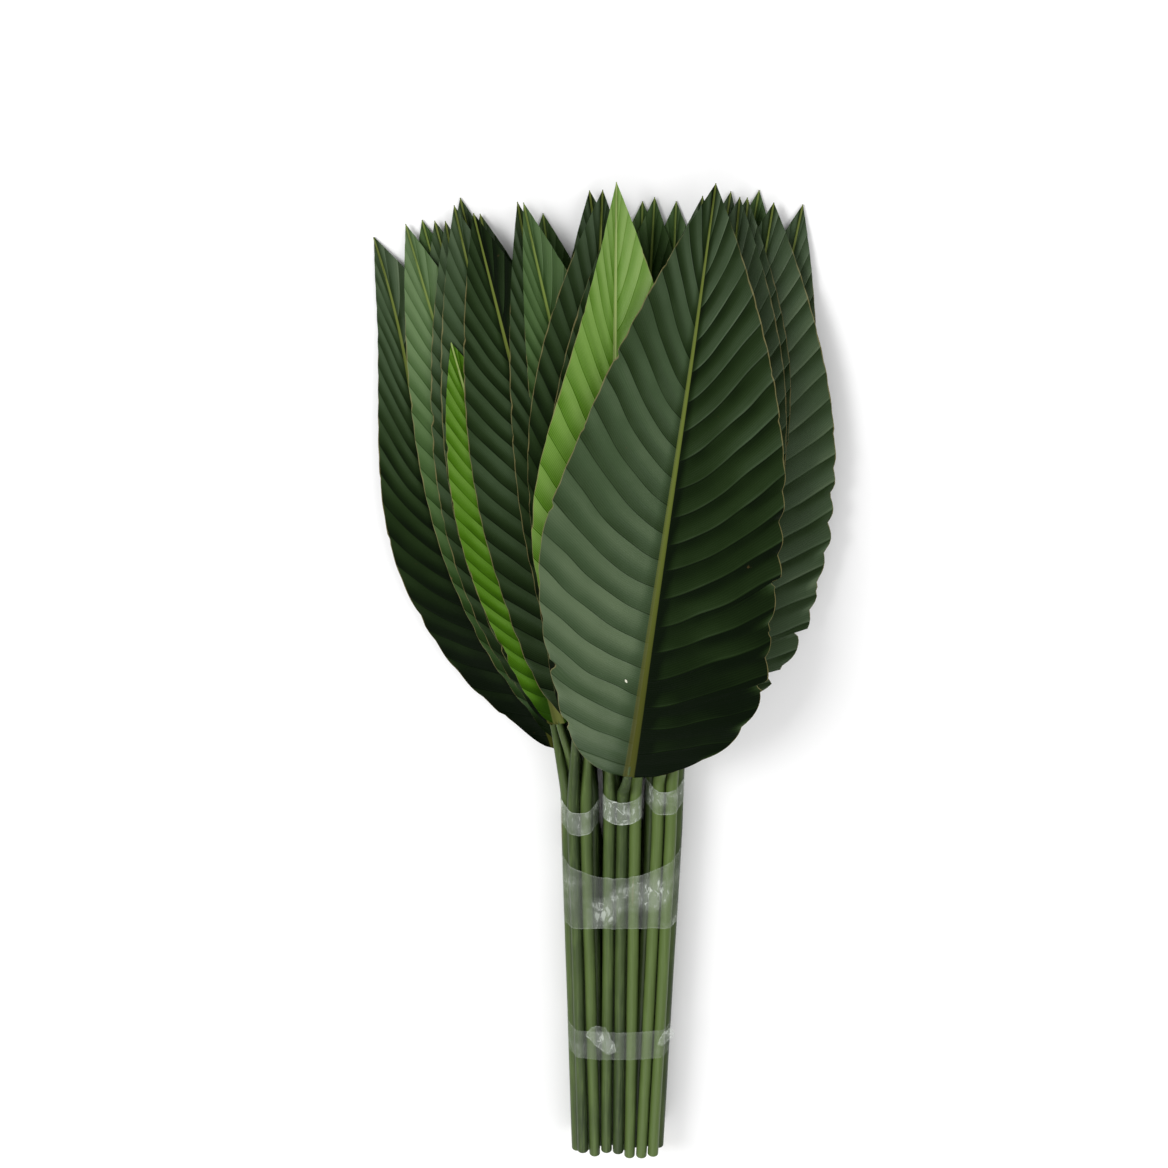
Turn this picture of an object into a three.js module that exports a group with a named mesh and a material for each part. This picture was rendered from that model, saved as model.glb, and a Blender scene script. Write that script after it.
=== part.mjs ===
// A taped bunch of thirty cut bird of paradise leaves, lying on its back.
// Millimetres: x to the right, y from the cut ends to the tips, z up off the surface it lies on.
import * as THREE from "three";

// The stems, packed in four rows that nest in one another, as three hands of ten.
const STEM_RADIUS = 6.5;
const NECK_RADIUS = 4.2;
const FLAT_TOP = Math.cos(Math.PI / 12);
const STEM_PITCH = 14;
const ROW_RISE = STEM_PITCH * Math.sin(Math.PI / 3);
const ROW_COUNTS = [8, 7, 8, 7];
const HAND_SIZES = [3, 2, 3, 2];
const HAND_SHIFT = 10.5;
const CUT_RAGGED = 9;
const CUT_STEP = 2.4;

// Along the bunch the hands spread evenly from the cut ends, run level under their tape, then part.
const HAND_START = 458;
const BEYOND_TAPE = 2;

// The bands of clear tape: where each starts, its width and its thickness.
const TAPE_THICK = 0.7;
const TAPE_GAP = 0.3;
const LOWER_BAND = { start: 154, width: 40 };
const WIDE_BAND = { start: 338, width: 76 };
const HAND_TAPES = [
  { start: 462, width: 28 },
  { start: 475, width: 28 },
  { start: 488, width: 28 },
];
const CORNER_STEPS = 12;
const LEAST_TURN = 1e-3;
const CORNER_OUT = 1 / Math.cos(Math.PI / CORNER_STEPS);
const TAPE_OUTSIDE = (STEM_RADIUS + TAPE_GAP + TAPE_THICK) * CORNER_OUT;

// The blades. A leaf's length runs from 0 at its base to 1 at its tip.
const BLADE_THICK = 0.8;
const WIDEST = 0.38;
const BASE_ROUNDING = 3.5;
const TIP_TAPER = 1.85;
const VEIN_SWEEP = 0.33;
const VEIN_START = 0.7;
const VEIN_CURVE = 1.5;
const MIDWAY = 0.52;
const BLADE_RINGS = 17;
const RING_CROWDING = 0.35;
const NECK_GAP = 6;
const SWING_START = 0.06;
const PLEAT = 0.4;
const EDGE_WAVE = [0.5, 2.2];
const EDGE_BITE = 0.02;
const RIB_DEPTH = 7;
const RIB_TIP_DEPTH = 1.2;
const RIB_HALF_WIDTH = 4.4;
const RIB_TIP_HALF_WIDTH = 0.6;
const RIB_UNDER_SHARE = 0.7;
const RIB_THINNING = [0.35, 0.7];
const TIP_HALF_WIDTH = 1.2;
const BASE_FLARE = 60;
const WAVE_FULL_WIDTH = 40;

// How the leaves settle on one another.
const TIP_REST = RIB_TIP_DEPTH;
const SAG_CURVE = 0.8;
const CELL = 1.5;
const CLEARANCE = 0.4;
const STEM_CLEARANCE = 0.35;
const LEAST_FREE = 0.02;
const TOUCHING = 0.05;
const LIFT_SLOPE = 0.22;
const NECK_SLOPE = 0.8;
const NECK_REACH = 30;
const CROSS_SLOPE = 0.2;
const SETTLE_ROUNDS = 60;
const PILE = { left: -290, right: 250, front: -5, back: 1180 };

// The leaves, from the bottom of the pile up: row and place in the row, where the blade starts,
// its tip, its half widths to the left and right, and how far each half folds up, in degrees.
const DARK = 0x24401f;
const MID = 0x35592c;
const BRIGHT = 0x6c9a2c;
const LEAVES = [
  { row: 0, place: 3, base: 690, tip: [-79, 1108], half: [70, 70], fold: [2, 2], color: MID },
  { row: 0, place: 4, base: 682, tip: [13, 1119], half: [72, 72], fold: [2, 2], color: MID },
  { row: 0, place: 2, base: 674, tip: [-155, 1122], half: [74, 66], fold: [3, 2], color: DARK },
  { row: 0, place: 5, base: 666, tip: [44, 1119], half: [70, 74], fold: [2, 3], color: MID },
  { row: 0, place: 1, base: 655, tip: [-191, 1102], half: [76, 66], fold: [4, 2], color: MID },
  { row: 0, place: 6, base: 645, tip: [120, 1129], half: [70, 84], fold: [2, 4], color: MID },
  { row: 0, place: 7, base: 612, tip: [161, 1116], half: [76, 70], fold: [2, 5], color: DARK },
  { row: 0, place: 0, base: 548, tip: [-237, 1086], half: [92, 80], fold: [5, 2], color: DARK },
  { row: 1, place: 3, base: 652, tip: [24, 1123], half: [70, 70], fold: [2, 2], color: MID },
  { row: 1, place: 2, base: 646, tip: [-137, 1108], half: [70, 70], fold: [2, 2], color: DARK },
  { row: 1, place: 4, base: 640, tip: [94, 1128], half: [74, 74], fold: [2, 2], color: DARK },
  { row: 1, place: 5, base: 634, tip: [109, 1123], half: [76, 84], fold: [2, 3], color: MID },
  { row: 1, place: 1, base: 612, tip: [-179, 1102], half: [78, 74], fold: [3, 2], color: DARK },
  { row: 1, place: 6, base: 600, tip: [133, 1119], half: [84, 116], fold: [2, 4], color: DARK },
  { row: 1, place: 0, base: 562, tip: [-206, 1099], half: [66, 80], fold: [6, 3], color: MID },
  { row: 2, place: 0, base: 590, tip: [-169, 1102], half: [70, 76], fold: [6, 3], color: DARK },
  { row: 2, place: 2, base: 586, tip: [-160, 1117], half: [76, 76], fold: [5, 3], color: DARK },
  { row: 2, place: 7, base: 616, tip: [109, 1122], half: [84, 88], fold: [2, 3], color: DARK },
  { row: 2, place: 1, base: 598, tip: [-166, 993], half: [70, 70], fold: [7, 3], color: BRIGHT },
  { row: 2, place: 3, base: 592, tip: [-142, 1111], half: [78, 84], fold: [6, 4], color: DARK },
  { row: 2, place: 4, base: 592, tip: [-102, 1120], half: [56, 76], fold: [7, 4], color: DARK },
  { row: 2, place: 5, base: 590, tip: [-96, 1121], half: [48, 76], fold: [8, 4], color: MID },
  { row: 2, place: 6, base: 586, tip: [-36, 1130], half: [92, 84], fold: [7, 4], color: DARK },
  { row: 3, place: 5, base: 610, tip: [62, 1108], half: [84, 84], fold: [3, 3], color: DARK },
  { row: 3, place: 0, base: 604, tip: [-24, 1132], half: [84, 80], fold: [6, 4], color: DARK },
  { row: 3, place: 1, base: 598, tip: [-8, 1125], half: [72, 80], fold: [6, 4], color: DARK },
  { row: 3, place: 6, base: 598, tip: [101, 1125], half: [90, 88], fold: [3, 4], color: DARK },
  { row: 3, place: 2, base: 584, tip: [-12, 1141], half: [84, 84], fold: [8, 5], color: BRIGHT },
  { row: 3, place: 4, base: 576, tip: [66, 1128], half: [90, 92], fold: [4, 4], color: DARK },
  { row: 3, place: 3, base: 560, tip: [77, 1140], half: [108, 117], fold: [8, 6], color: DARK },
];

const smooth = (t) => t * t * (3 - 2 * t);
const ease = (value, from, to) => smooth(THREE.MathUtils.clamp((value - from) / (to - from), 0, 1));

// Which of the three hands a stem belongs to: -1, 0 or 1.
function handOf(row, place) {
  const side = HAND_SIZES[row];
  if (place < side) return -1;
  return place < ROW_COUNTS[row] - side ? 0 : 1;
}

const packedX = (row, place) => (place - (ROW_COUNTS[row] - 1) / 2) * STEM_PITCH;
const packedZ = (row) => TAPE_OUTSIDE + row * ROW_RISE;
const spread = (y) => HAND_SHIFT * Math.min(y / HAND_START, 1);
const packedTop = (row) => packedZ(row) + STEM_RADIUS * FLAT_TOP;

// Where a stem leaves the tape of its hand.
function freeFrom(leaf) {
  const tape = HAND_TAPES[handOf(leaf.row, leaf.place) + 1];
  return tape.start + tape.width + BEYOND_TAPE;
}

// The line of a stem and its midrib, seen from above.
function ribX(leaf, y) {
  const x = packedX(leaf.row, leaf.place) + handOf(leaf.row, leaf.place) * spread(y);
  const start = freeFrom(leaf);
  if (y <= start) return x;
  const u = (y - start) / (leaf.tip[1] - start);
  const swing = ((1 + SWING_START) * u * u) / (u + SWING_START);
  return x + (leaf.tip[0] - x) * swing;
}

// How far a leaf sags from the level of its row, where nothing holds it up.
function sag(leaf, y) {
  const start = freeFrom(leaf);
  const u = THREE.MathUtils.clamp((y - start) / (leaf.tip[1] - start), 0, 1);
  return (packedTop(leaf.row) - TIP_REST) * Math.pow(u, SAG_CURVE);
}

// The half width of a blade along its length, as a share of its widest.
function outline(s) {
  if (s < WIDEST) return Math.sqrt(1 - Math.pow(1 - s / WIDEST, BASE_ROUNDING));
  return 1 - Math.pow((s - WIDEST) / (1 - WIDEST), TIP_TAPER);
}

// How far towards the tip a side vein has climbed when it meets the edge.
const sweep = (s) => VEIN_SWEEP * Math.pow(s, VEIN_START) * (1 - s);

// The rings of a leaf, from the cut end to the tip. Each has five height controls across it.
function ringsOf(leaf, number) {
  const cut = CUT_RAGGED * (0.5 + 0.5 * Math.sin(number * CUT_STEP));
  const edgeWave = THREE.MathUtils.lerp(...EDGE_WAVE, number / (LEAVES.length - 1));
  const rings = [];
  const start = freeFrom(leaf);
  const neck = [(start + leaf.base) / 2, leaf.base - NECK_GAP];
  for (const y of [cut, HAND_START, start, ...neck]) {
    rings.push({ y, s: -1, fixed: y <= start });
  }
  for (let i = 0; i < BLADE_RINGS; i++) {
    const t = i / (BLADE_RINGS - 1);
    const s = RING_CROWDING * t * t * t + (1 - RING_CROWDING) * t;
    rings.push({ y: 0, s, wave: i % 2 ? 1 : -1, edgeWave, fixed: false });
  }
  rings.forEach((ring) => (ring.lift = [0, 0, 0, 0, 0]));
  return rings;
}

// The twelve points round one ring: six over the top from left to right, six back underneath.
const COLUMN = [0, 1, 2, 2, 3, 4, 4, 3, 2, 2, 1, 0];
function ringPoints(leaf, ring) {
  const top = packedTop(leaf.row);
  if (ring.s < 0) {
    const radius = THREE.MathUtils.lerp(STEM_RADIUS, NECK_RADIUS, ease(ring.y, freeFrom(leaf), leaf.base));
    return COLUMN.map((column, k) => {
      const angle = ((165 - 30 * k) * Math.PI) / 180;
      const z = top - sag(leaf, ring.y) + radius * (Math.sin(angle) - FLAT_TOP) + ring.lift[2];
      return new THREE.Vector3(ribX(leaf, ring.y) + radius * Math.cos(angle), ring.y, z);
    });
  }
  const { s } = ring;
  const length = leaf.tip[1] - leaf.base;
  const depth = THREE.MathUtils.lerp(RIB_DEPTH, RIB_TIP_DEPTH, Math.pow(s, RIB_THINNING[0]));
  const ribHalf = THREE.MathUtils.lerp(RIB_HALF_WIDTH, RIB_TIP_HALF_WIDTH, Math.pow(s, RIB_THINNING[1]));
  const least = TIP_HALF_WIDTH + STEM_RADIUS * Math.exp(-s * BASE_FLARE);
  const edge = Math.min(s + sweep(s), 1);
  const points = [];
  const at = (side, share, drop, column, ribWidth = 0) => {
    const which = side < 0 ? 0 : 1;
    const half = Math.max(leaf.half[which] * outline(edge), least);
    const bite = share === 1 ? 1 + EDGE_BITE * ring.wave : 1;
    const reach = ribWidth || share * half * bite;
    const y = leaf.base + (s + sweep(s) * Math.pow(share, VEIN_CURVE)) * length;
    const slope = (ribX(leaf, y + 1) - ribX(leaf, y - 1)) / 2;
    const turn = 1 / Math.hypot(1, slope);
    const fold = Math.tan(THREE.MathUtils.degToRad(leaf.fold[which]));
    const swell = share === 1 ? ring.edgeWave : share && PLEAT;
    const wave = ring.wave * swell * Math.min(1, half / WAVE_FULL_WIDTH);
    const z = top - sag(leaf, y) + reach * fold + wave + ring.lift[column] - drop;
    points.push(new THREE.Vector3(ribX(leaf, y) + side * reach * turn, y - side * reach * slope * turn, z));
  };
  at(-1, 1, 0, 0);
  at(-1, MIDWAY, 0, 1);
  at(-1, 0, 0, 2, ribHalf);
  at(1, 0, 0, 2, ribHalf);
  at(1, MIDWAY, 0, 3);
  at(1, 1, 0, 4);
  at(1, 1, BLADE_THICK, 4);
  at(1, MIDWAY, BLADE_THICK, 3);
  at(1, 0, depth, 2, ribHalf * RIB_UNDER_SHARE);
  at(-1, 0, depth, 2, ribHalf * RIB_UNDER_SHARE);
  at(-1, MIDWAY, BLADE_THICK, 1);
  at(-1, 1, BLADE_THICK, 0);
  return points;
}

// The triangles between two rings, split alike on the upper and the under side.
const AROUND = COLUMN.length;
function bandTriangles(i) {
  const faces = [];
  for (let k = 0; k < AROUND; k++) {
    const a = i * AROUND + k;
    const b = i * AROUND + ((k + 1) % AROUND);
    const c = b + AROUND;
    const d = a + AROUND;
    if (k < 6) faces.push([a, b, c], [a, c, d]);
    else faces.push([a, b, d], [b, c, d]);
  }
  return faces;
}

// The height map of what already lies on the surface.
const across = Math.ceil((PILE.right - PILE.left) / CELL);
const along = Math.ceil((PILE.back - PILE.front) / CELL);
const heights = new Float32Array(across * along).fill(-CLEARANCE);

// Calls back for each cell of the height map that a triangle covers, with its three shares.
function eachCell(p, q, r, visit) {
  const area = (q.x - p.x) * (r.y - p.y) - (r.x - p.x) * (q.y - p.y);
  if (Math.abs(area) < 1e-6) return;
  const column = (x) => (x - PILE.left) / CELL;
  const line = (y) => (y - PILE.front) / CELL;
  const i0 = Math.max(1, Math.floor(column(Math.min(p.x, q.x, r.x))));
  const i1 = Math.min(across - 2, Math.ceil(column(Math.max(p.x, q.x, r.x))));
  const j0 = Math.max(1, Math.floor(line(Math.min(p.y, q.y, r.y))));
  const j1 = Math.min(along - 2, Math.ceil(line(Math.max(p.y, q.y, r.y))));
  for (let j = j0; j <= j1; j++) {
    for (let i = i0; i <= i1; i++) {
      const x = PILE.left + i * CELL;
      const y = PILE.front + j * CELL;
      const v = ((x - p.x) * (r.y - p.y) - (r.x - p.x) * (y - p.y)) / area;
      const w = ((q.x - p.x) * (y - p.y) - (x - p.x) * (q.y - p.y)) / area;
      if (v >= 0 && w >= 0 && v + w <= 1) visit(i, j, 1 - v - w, v, w);
    }
  }
}

function highestNear(i, j) {
  let most = -CLEARANCE;
  for (let b = j - 1; b <= j + 1; b++) {
    for (let a = i - 1; a <= i + 1; a++) most = Math.max(most, heights[b * across + a]);
  }
  return most;
}

// Lifts the free rings of a leaf until it lies on the heap, bending no more sharply than a leaf does.
function settle(leaf, rings) {
  for (let round = 0; round < SETTLE_ROUNDS; round++) {
    const points = rings.flatMap((ring) => ringPoints(leaf, ring));
    const need = rings.map(() => [0, 0, 0, 0, 0]);
    let worst = 0;
    for (let i = 2; i < rings.length - 1; i++) {
      for (const face of bandTriangles(i)) {
        const sides = face.map((k) => k % AROUND);
        const onStem = rings[i + 1].s < 0;
        if (sides.some((k) => k < 6) || (onStem && sides.some((k) => k < 7 || k > 10))) continue;
        const [p, q, r] = face.map((k) => points[k]);
        eachCell(p, q, r, (a, b, u, v, w) => {
          const under = onStem ? heights[b * across + a] + STEM_CLEARANCE : highestNear(a, b) + CLEARANCE;
          const short = under - (u * p.z + v * q.z + w * r.z);
          if (short <= 0) return;
          const shares = [u, v, w];
          const free = face.map((k, n) => (rings[Math.floor(k / AROUND)].fixed ? 0 : shares[n]));
          const total = free.reduce((sum, share) => sum + share * share, 0);
          if (total < LEAST_FREE) return;
          worst = Math.max(worst, short);
          face.forEach((k, n) => {
            const row = need[Math.floor(k / AROUND)];
            const column = COLUMN[k % AROUND];
            row[column] = Math.max(row[column], Math.min(short, (short * free[n]) / total));
          });
        });
      }
    }
    if (worst < TOUCHING) return;
    rings.forEach((ring, i) => {
      if (ring.fixed) return;
      const stem = Math.max(...need[i]);
      ring.lift = ring.lift.map((lift, c) => lift + (ring.s < 0 ? stem : need[i][c]));
    });
    limitSlopes(leaf, rings);
  }
}

// Raises the neighbours of a lifted control, so the leaf bends over a distance.
function limitSlopes(leaf, rings) {
  const length = leaf.tip[1] - leaf.base;
  const place = rings.map((ring) => {
    const y = ring.s < 0 ? ring.y : leaf.base + ring.s * length;
    return LIFT_SLOPE * y + (NECK_SLOPE - LIFT_SLOPE) * Math.min(y, leaf.base + NECK_REACH);
  });
  const offsets = rings.map((ring) => {
    if (ring.s < 0) return [0, 0, 0, 0, 0];
    const w = outline(Math.min(ring.s + sweep(ring.s), 1));
    return [-leaf.half[0] * w, -leaf.half[0] * w * MIDWAY, 0, leaf.half[1] * w * MIDWAY, leaf.half[1] * w];
  });
  for (let pass = 0; pass < 2; pass++) {
    rings.forEach((ring, i) => {
      if (ring.fixed) return;
      for (let c = 0; c < 5; c++) {
        for (let d = 0; d < 5; d++) {
          const reach = Math.abs(offsets[i][c] - offsets[i][d]);
          ring.lift[c] = Math.max(ring.lift[c], ring.lift[d] - CROSS_SLOPE * reach);
        }
        rings.forEach((other, j) => {
          if (other.fixed) return;
          ring.lift[c] = Math.max(ring.lift[c], other.lift[c] - Math.abs(place[i] - place[j]));
        });
      }
    });
  }
}

// Adds the upper side of a leaf to the height map.
function addToPile(points, count) {
  for (let i = 0; i < count - 1; i++) {
    for (const face of bandTriangles(i)) {
      const [p, q, r] = face.map((k) => points[k]);
      eachCell(p, q, r, (a, b, u, v, w) => {
        const cell = b * across + a;
        heights[cell] = Math.max(heights[cell], u * p.z + v * q.z + w * r.z);
      });
    }
  }
}

function solid(name, points, faces, material) {
  const geometry = new THREE.BufferGeometry();
  geometry.setAttribute("position", new THREE.Float32BufferAttribute(points.flatMap((p) => p.toArray()), 3));
  geometry.setIndex(faces.flat());
  geometry.computeVertexNormals();
  const mesh = new THREE.Mesh(geometry, material);
  mesh.name = name;
  return mesh;
}

function leafMesh(leaf, number) {
  const rings = ringsOf(leaf, number);
  settle(leaf, rings);
  const points = rings.flatMap((ring) => ringPoints(leaf, ring));
  const faces = [];
  for (let i = 0; i < rings.length - 1; i++) {
    for (const face of bandTriangles(i)) faces.push(face);
  }
  const last = (rings.length - 1) * AROUND;
  for (let k = 1; k < AROUND - 1; k++) {
    faces.push([0, k + 1, k]);
    faces.push([last, last + k, last + k + 1]);
  }
  addToPile(points, rings.length);
  const material = new THREE.MeshStandardMaterial({ color: leaf.color, roughness: 0.45, metalness: 0 });
  return solid("leaf_" + String(number + 1).padStart(2, "0"), points, faces, material);
}

// A band pulled tight round some stems: the hull of a circle round each one. The same corners serve
// for the outside and the inside of the tape, and for both its ends.
function tapeMesh(name, band, hand) {
  const corners = [];
  const middle = spread(band.start + band.width / 2);
  ROW_COUNTS.forEach((count, row) => {
    for (let place = 0; place < count; place++) {
      const side = handOf(row, place);
      if (hand !== undefined && side !== hand) continue;
      for (let k = 0; k < CORNER_STEPS; k++) {
        const angle = (k * 2 * Math.PI) / CORNER_STEPS - Math.PI / 2;
        const x = packedX(row, place) + side * middle + TAPE_OUTSIDE * Math.cos(angle);
        corners.push({ row, place, side, angle, x, z: packedZ(row) + TAPE_OUTSIDE * Math.sin(angle) });
      }
    }
  });
  const hull = hullOf(corners);
  const inside = (STEM_RADIUS + TAPE_GAP) * CORNER_OUT;
  const near = band.start;
  const far = band.start + band.width;
  const loops = [
    [TAPE_OUTSIDE, near],
    [TAPE_OUTSIDE, far],
    [inside, far],
    [inside, near],
  ];
  const points = loops.flatMap(([radius, y]) =>
    hull.map(({ row, place, side, angle }) => {
      const x = packedX(row, place) + side * spread(y) + radius * Math.cos(angle);
      return new THREE.Vector3(x, y, packedZ(row) + radius * Math.sin(angle));
    }),
  );
  const count = hull.length;
  const faces = [];
  loops.forEach((_, loop) => {
    for (let k = 0; k < count; k++) {
      const a = loop * count + k;
      const b = loop * count + ((k + 1) % count);
      const c = ((loop + 1) % loops.length) * count + ((k + 1) % count);
      const d = ((loop + 1) % loops.length) * count + k;
      faces.push([a, c, b], [a, d, c]);
    }
  });
  const material = new THREE.MeshStandardMaterial({ color: 0xd8dfd6, roughness: 0.3, metalness: 0 });
  return solid(name, points, faces, material);
}

// The corners on the outside of a set, anticlockwise seen from the cut ends.
function hullOf(corners) {
  const sorted = corners.slice().sort((a, b) => a.x - b.x || a.z - b.z);
  const turns = (o, a, b) => (a.x - o.x) * (b.z - o.z) - (a.z - o.z) * (b.x - o.x);
  const half = (list) => {
    const chain = [];
    for (const p of list) {
      while (chain.length > 1 && turns(chain.at(-2), chain.at(-1), p) <= LEAST_TURN) chain.pop();
      chain.push(p);
    }
    chain.pop();
    return chain;
  };
  return [...half(sorted), ...half(sorted.slice().reverse())];
}

const bunch = new THREE.Group();
LEAVES.forEach((leaf, number) => bunch.add(leafMesh(leaf, number)));
bunch.add(tapeMesh("tape_left", HAND_TAPES[0], -1));
bunch.add(tapeMesh("tape_middle", HAND_TAPES[1], 0));
bunch.add(tapeMesh("tape_right", HAND_TAPES[2], 1));
bunch.add(tapeMesh("tape_wide", WIDE_BAND));
bunch.add(tapeMesh("tape_lower", LOWER_BAND));

// The origin is on the surface, under the middle of the bunch.
bunch.updateMatrixWorld(true);
const box = new THREE.Box3().setFromObject(bunch);
const middle = box.getCenter(new THREE.Vector3());
bunch.position.set(-middle.x, -middle.y, -box.min.z);

export default bunch;
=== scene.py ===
import math

import bmesh
import bpy
import numpy as np
from mathutils import Euler, Matrix, Vector, noise
from mathutils.kdtree import KDTree


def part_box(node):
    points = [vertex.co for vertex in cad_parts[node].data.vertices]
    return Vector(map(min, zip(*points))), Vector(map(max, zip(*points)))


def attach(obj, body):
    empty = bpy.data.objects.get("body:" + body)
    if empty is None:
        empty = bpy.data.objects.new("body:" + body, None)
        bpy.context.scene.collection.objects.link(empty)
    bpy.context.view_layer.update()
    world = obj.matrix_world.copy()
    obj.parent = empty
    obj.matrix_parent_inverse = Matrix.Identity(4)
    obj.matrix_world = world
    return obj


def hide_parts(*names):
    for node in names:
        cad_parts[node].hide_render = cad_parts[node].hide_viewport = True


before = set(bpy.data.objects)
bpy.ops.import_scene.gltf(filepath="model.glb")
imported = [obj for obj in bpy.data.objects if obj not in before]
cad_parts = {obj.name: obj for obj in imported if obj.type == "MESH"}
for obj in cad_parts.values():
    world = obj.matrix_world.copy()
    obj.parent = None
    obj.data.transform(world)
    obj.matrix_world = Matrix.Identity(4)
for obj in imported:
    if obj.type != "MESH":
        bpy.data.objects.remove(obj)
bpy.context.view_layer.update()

# The leaves: thirty, each grown as one piece, a long round green stalk that runs on as the midrib of a
# broad blade. A blade is thin, tough and a little waxy, pleated along its side veins and waved at its
# margin. They were cut square, laid in four rows and gathered in three hands of ten.

# From the bottom of the pile up, in millimetres: row and place of the stalk, where the blade starts, its
# tip, its two half widths, and its green.
LEAVES = [
    (0, 3, 690, (-79, 1108), (70, 70), "leaf_mid"),
    (0, 4, 682, (13, 1119), (72, 72), "leaf_mid"),
    (0, 2, 674, (-155, 1122), (74, 66), "leaf_dark"),
    (0, 5, 666, (44, 1119), (70, 74), "leaf_mid"),
    (0, 1, 655, (-191, 1102), (76, 66), "leaf_mid"),
    (0, 6, 645, (120, 1129), (70, 84), "leaf_mid"),
    (0, 7, 612, (161, 1116), (76, 70), "leaf_dark"),
    (0, 0, 548, (-237, 1086), (92, 80), "leaf_dark"),
    (1, 3, 652, (24, 1123), (70, 70), "leaf_mid"),
    (1, 2, 646, (-137, 1108), (70, 70), "leaf_dark"),
    (1, 4, 640, (94, 1128), (74, 74), "leaf_dark"),
    (1, 5, 634, (109, 1123), (76, 84), "leaf_mid"),
    (1, 1, 612, (-179, 1102), (78, 74), "leaf_dark"),
    (1, 6, 600, (133, 1119), (84, 116), "leaf_dark"),
    (1, 0, 562, (-206, 1099), (66, 80), "leaf_mid"),
    (2, 0, 590, (-169, 1102), (70, 76), "leaf_dark"),
    (2, 2, 586, (-160, 1117), (76, 76), "leaf_dark"),
    (2, 7, 616, (109, 1122), (84, 88), "leaf_dark"),
    (2, 1, 598, (-166, 993), (70, 70), "leaf_bright"),
    (2, 3, 592, (-142, 1111), (78, 84), "leaf_dark"),
    (2, 4, 592, (-102, 1120), (56, 76), "leaf_dark"),
    (2, 5, 590, (-96, 1121), (48, 76), "leaf_mid"),
    (2, 6, 586, (-36, 1130), (92, 84), "leaf_dark"),
    (3, 5, 610, (62, 1108), (84, 84), "leaf_dark"),
    (3, 0, 604, (-24, 1132), (84, 80), "leaf_dark"),
    (3, 1, 598, (-8, 1125), (72, 80), "leaf_dark"),
    (3, 6, 598, (101, 1125), (90, 88), "leaf_dark"),
    (3, 2, 584, (-12, 1141), (84, 84), "leaf_bright"),
    (3, 4, 576, (66, 1128), (90, 92), "leaf_dark"),
    (3, 3, 560, (77, 1140), (108, 117), "leaf_dark"),
]
# Places are in millimetres from the middle of the stalks, the cut ends and the ground. The wide band, which
# starts at WIDE_START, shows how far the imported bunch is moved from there.
WIDE_START = 338
band_low, band_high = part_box("tape_wide")
SHIFT = Vector(((band_low[0] + band_high[0]) / 2, band_low[1] - WIDE_START / 1000, 0))


def ease(value, low, high):
    t = np.clip((value - low) / (high - low), 0, 1)
    return t * t * (3 - 2 * t)


def bump_at(value, middle, width):
    return np.exp(-np.square((value - middle) / width))


# The stalks: radius and spacing, their number in each row, how many of a row are in each outer hand, and
# how far the hands draw apart by their bands, past which the stalks bend freely to their blades. Then the
# height of the lowest row, the midrib's depth at its two ends, and how near the ground a stalk may come.
STEM_RADIUS, STEM_PITCH, NECK_RADIUS = 6.5, 14, 4.2
ROW_COUNTS, HAND_SIZES, HAND_SHIFT = (8, 7, 8, 7), (3, 2, 3, 2), 10.5
HAND_START, HANDS_FREE = 458, (492, 505, 518)
STEM_LEVEL, ROW_RISE = 7.7646, STEM_PITCH * math.sin(math.pi / 3)
FLAT_TOP = math.cos(math.pi / 12)
RIB_DEPTH, RIB_TIP_DEPTH, STEM_CLEAR = 7, 1.2, 0.1


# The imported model's plan: the hand that a stalk is in, its place, and the line it takes to its leaf's tip.
def hand_of(row, place):
    side = HAND_SIZES[row]
    return -1 if place < side else 0 if place < ROW_COUNTS[row] - side else 1


def stem_x(row, place, y):
    spread = hand_of(row, place) * HAND_SHIFT * np.minimum(y / HAND_START, 1)
    return (place - (ROW_COUNTS[row] - 1) / 2) * STEM_PITCH + spread


def stem_z(row):
    return STEM_LEVEL + row * ROW_RISE


def free_from(leaf):
    return HANDS_FREE[hand_of(leaf[0], leaf[1]) + 1]


def rib_x(leaf, y):
    start, tip = free_from(leaf), leaf[3]
    x = stem_x(leaf[0], leaf[1], y)
    u = np.maximum(y - start, 0) / (tip[1] - start)
    return x + (tip[0] - x) * (1.06 * u * u) / (u + 0.06)


# The midrib of the leftmost leaf bows outwards, so that its outer half is the narrow one.
def bow(leaf, y):
    if leaf[:2] != (0, 0):
        return 0 * y
    u = np.clip((y - leaf[2]) / (leaf[3][1] - leaf[2]), 0, 1)
    return -34 * np.sin(math.pi * np.power(u, 0.9)) ** 2


# The plan of a blade: where it is widest, and how wide its midrib is at the base and at the tip. The packed
# model has so many rings across it, crowded towards the base, each with controls midway and at the margin.
WIDEST, RIB_HALF_WIDTH, RIB_TIP_HALF_WIDTH = 0.38, 4.4, 0.6
BLADE_RINGS, RING_CROWDING, MIDWAY = 17, 0.35, 0.52


def outline(s):
    low = np.sqrt(np.clip(1 - np.power(np.clip(1 - s / WIDEST, 0, 1), 3.5), 0, 1))
    high = 1 - np.power(np.clip((s - WIDEST) / (1 - WIDEST), 0, 1), 1.85)
    return np.where(s < WIDEST, low, high)


def model_sweep(s):
    return 0.33 * np.power(s, 0.7) * (1 - s)


def rib_half(s):
    return RIB_HALF_WIDTH + (RIB_TIP_HALF_WIDTH - RIB_HALF_WIDTH) * np.power(s, 0.7)


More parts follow.
